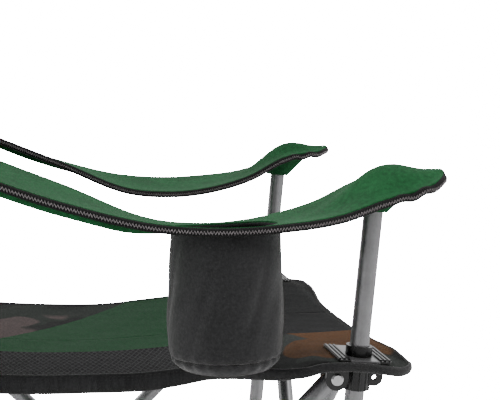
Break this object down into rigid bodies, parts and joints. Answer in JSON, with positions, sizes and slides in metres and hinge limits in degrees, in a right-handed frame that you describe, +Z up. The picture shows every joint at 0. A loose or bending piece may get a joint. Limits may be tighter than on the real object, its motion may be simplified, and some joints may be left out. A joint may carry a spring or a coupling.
{
  "type": "folding camp chair",
  "caption": "Folding quad camp chair with scissor tube frame, slung fabric seat and back, fabric armrests and a hanging cup holder.",
  "frame": {"origin": "on the floor, under the middle of the chair", "axes": "+Z up, the chair faces -Y, +X is the sitter's left"},
  "size_m": [0.5082, 0.5698, 0.801],
  "materials": {
    "frame_tube": "satin grey powder coat",
    "hub_plastic": "black injection moulding",
    "plate_plastic": "black injection moulding, polished ribs",
    "rivet": "nickel plated rivet",
    "green_fabric": "coated oxford weave",
    "black_fabric": "coated oxford weave",
    "camo_fabric": "printed oxford weave",
    "mesh_fabric": "spacer mesh",
    "binding": "bound edge tape, pale stitches",
    "cup_fabric": "coated oxford weave"
  },
  "bodies": {
    "front_right_leg": {"foot_front_right": "hub_plastic", "post_front_right": "frame_tube", "post_cap_front_right": "hub_plastic", "foot_rivets_front_right": "rivet", "armrest_right": "green_fabric", "cup_holder": "cup_fabric"},
    "front_left_leg": {"foot_front_left": "hub_plastic", "post_front_left": "frame_tube", "post_cap_front_left": "hub_plastic", "foot_rivets_front_left": "rivet", "armrest_left": "green_fabric"},
    "back_right_leg": {"foot_back_right": "hub_plastic", "post_back_right": "frame_tube", "post_cap_back_right": "hub_plastic", "foot_rivets_back_right": "rivet"},
    "back_left_leg": {"foot_back_left": "hub_plastic", "post_back_left": "frame_tube", "post_cap_back_left": "hub_plastic", "foot_rivets_back_left": "rivet"},
    "side_a_right": {"side_tube_a_right": "frame_tube", "side_rivet_right": "rivet"},
    "side_b_right": {"side_tube_b_right": "frame_tube"},
    "seat_right": {"seat_half_right": "black_fabric"},
    "backrest_right": {"backrest_half_right": "black_fabric"},
    "side_a_left": {"side_tube_a_left": "frame_tube", "side_rivet_left": "rivet"},
    "side_b_left": {"side_tube_b_left": "frame_tube"},
    "seat_left": {"seat_half_left": "black_fabric"},
    "backrest_left": {"backrest_half_left": "black_fabric"},
    "front_a": {"front_tube_a": "frame_tube", "front_rivet": "rivet"},
    "front_b": {"front_tube_b": "frame_tube"},
    "back_a": {"back_tube_a": "frame_tube", "back_rivet": "rivet"},
    "back_b": {"back_tube_b": "frame_tube"},
    "hub_front_right": {"hub_front_right": "hub_plastic", "corner_plate_front_right": "plate_plastic", "hub_rivets_front_right": "rivet"},
    "hub_front_left": {"hub_front_left": "hub_plastic", "corner_plate_front_left": "plate_plastic", "hub_rivets_front_left": "rivet"},
    "hub_back_right": {"hub_back_right": "hub_plastic", "corner_plate_back_right": "plate_plastic", "hub_rivets_back_right": "rivet"},
    "hub_back_left": {"hub_back_left": "hub_plastic", "corner_plate_back_left": "plate_plastic", "hub_rivets_back_left": "rivet"}
  },
  "joints": [
    {"name": "fold", "type": "hinge", "parent": "front_right_leg", "child": "side_a_right", "pos_m": [-0.19252, -0.15653, 0.03], "axis": [1, 0, 0], "range_deg": [0, 31], "deforming": ["seat_half_right", "seat_half_left", "armrest_right", "armrest_left", "cup_holder", "backrest_half_right", "backrest_half_left"]},
    {"name": "side_cross_right", "type": "hinge", "parent": "side_a_right", "child": "side_b_right", "pos_m": [-0.19252, 0.00611, 0.19263], "axis": [1, 0, 0], "range_deg": [-54.3, 0]},
    {"name": "back_right_swing", "type": "hinge", "parent": "side_b_right", "child": "back_right_leg", "pos_m": [-0.20972, 0.16874, 0.03], "axis": [1, 0, 0], "range_deg": [0, 31.05]},
    {"name": "front_a_swing", "type": "hinge", "parent": "front_right_leg", "child": "front_a", "pos_m": [-0.17912, -0.18698, 0.02707], "axis": [0, -0.9954, -0.0958], "range_deg": [0, 26.98]},
    {"name": "front_cross", "type": "hinge", "parent": "front_a", "child": "front_b", "pos_m": [0, -0.20431, 0.20703], "axis": [0, -0.9954, -0.0958], "range_deg": [-53.9, 0]},
    {"name": "front_left_swing", "type": "hinge", "parent": "front_b", "child": "front_left_leg", "pos_m": [0.17912, -0.16986, 0.02872], "axis": [0, -0.9954, -0.0958], "range_deg": [0, 26.98]},
    {"name": "front_hub_right_turn", "type": "hinge", "parent": "front_b", "child": "hub_front_right", "pos_m": [-0.17912, -0.20451, 0.38863], "axis": [0, -0.9954, -0.0958], "range_deg": [0, 26.98]},
    {"name": "front_hub_left_turn", "type": "hinge", "parent": "front_a", "child": "hub_front_left", "pos_m": [0.17912, -0.22163, 0.38699], "axis": [0, -0.9954, -0.0958], "range_deg": [-26.98, 0]},
    {"name": "back_a_swing", "type": "hinge", "parent": "back_right_leg", "child": "back_a", "pos_m": [-0.17912, 0.18208, 0.02872], "axis": [0, -0.9954, 0.0958], "range_deg": [0, 26.98]},
    {"name": "back_cross", "type": "hinge", "parent": "back_a", "child": "back_b", "pos_m": [0, 0.19941, 0.20867], "axis": [0, -0.9954, 0.0958], "range_deg": [-53.9, 0]},
    {"name": "back_left_swing", "type": "hinge", "parent": "back_b", "child": "back_left_leg", "pos_m": [0.17912, 0.1992, 0.02707], "axis": [0, -0.9954, 0.0958], "range_deg": [0, 26.98]},
    {"name": "back_hub_right_turn", "type": "hinge", "parent": "back_b", "child": "hub_back_right", "pos_m": [-0.17912, 0.23385, 0.38699], "axis": [0, -0.9954, 0.0958], "range_deg": [0, 26.98]},
    {"name": "back_hub_left_turn", "type": "hinge", "parent": "back_a", "child": "hub_back_left", "pos_m": [0.17912, 0.21673, 0.38863], "axis": [0, -0.9954, 0.0958], "range_deg": [-26.98, 0]},
    {"name": "side_a_left_swing", "type": "hinge", "parent": "front_left_leg", "child": "side_a_left", "pos_m": [0.20972, -0.15653, 0.03], "axis": [1, 0, 0], "range_deg": [0, 31.05]},
    {"name": "side_cross_left", "type": "hinge", "parent": "side_a_left", "child": "side_b_left", "pos_m": [0.20972, 0.00611, 0.19263], "axis": [1, 0, 0], "range_deg": [-54.3, 0]},
    {"name": "seat_right_drop", "type": "hinge", "parent": "hub_front_right", "child": "seat_right", "pos_m": [-0.20112, -0.21437, 0.40125], "axis": [0, 1, 0], "range_deg": [0, 61.79]},
    {"name": "seat_left_drop", "type": "hinge", "parent": "hub_front_left", "child": "seat_left", "pos_m": [0.20112, -0.21437, 0.40125], "axis": [0, -1, 0], "range_deg": [0, 61.79]},
    {"name": "backrest_right_swing", "type": "hinge", "parent": "back_right_leg", "child": "backrest_right", "pos_m": [-0.20112, 0.23104, 0.44753], "axis": [0, 0.0958, 0.9954], "range_deg": [0, 61.79]},
    {"name": "backrest_left_swing", "type": "hinge", "parent": "back_left_leg", "child": "backrest_left", "pos_m": [0.20112, 0.23104, 0.44753], "axis": [0, -0.0958, -0.9954], "range_deg": [0, 61.79]}
  ],
  "couplings": [
    {"joint": "side_cross_right", "follows": "fold", "ratio": -1.7501},
    {"joint": "back_right_swing", "follows": "fold", "ratio": 1},
    {"joint": "front_a_swing", "follows": "fold", "ratio": 0.86857},
    {"joint": "front_cross", "follows": "fold", "ratio": -1.7371},
    {"joint": "front_left_swing", "follows": "fold", "ratio": 0.86857},
    {"joint": "front_hub_right_turn", "follows": "fold", "ratio": 0.86857},
    {"joint": "front_hub_left_turn", "follows": "fold", "ratio": -0.86857},
    {"joint": "back_a_swing", "follows": "fold", "ratio": 0.86857},
    {"joint": "back_cross", "follows": "fold", "ratio": -1.7371},
    {"joint": "back_left_swing", "follows": "fold", "ratio": 0.86857},
    {"joint": "back_hub_right_turn", "follows": "fold", "ratio": 0.86857},
    {"joint": "back_hub_left_turn", "follows": "fold", "ratio": -0.86857},
    {"joint": "side_a_left_swing", "follows": "fold", "ratio": 1},
    {"joint": "side_cross_left", "follows": "fold", "ratio": -1.7501},
    {"joint": "seat_right_drop", "follows": "fold", "ratio": 1.9915},
    {"joint": "seat_left_drop", "follows": "fold", "ratio": 1.9915},
    {"joint": "backrest_right_swing", "follows": "fold", "ratio": 1.9915},
    {"joint": "backrest_left_swing", "follows": "fold", "ratio": 1.9915}
  ]
}
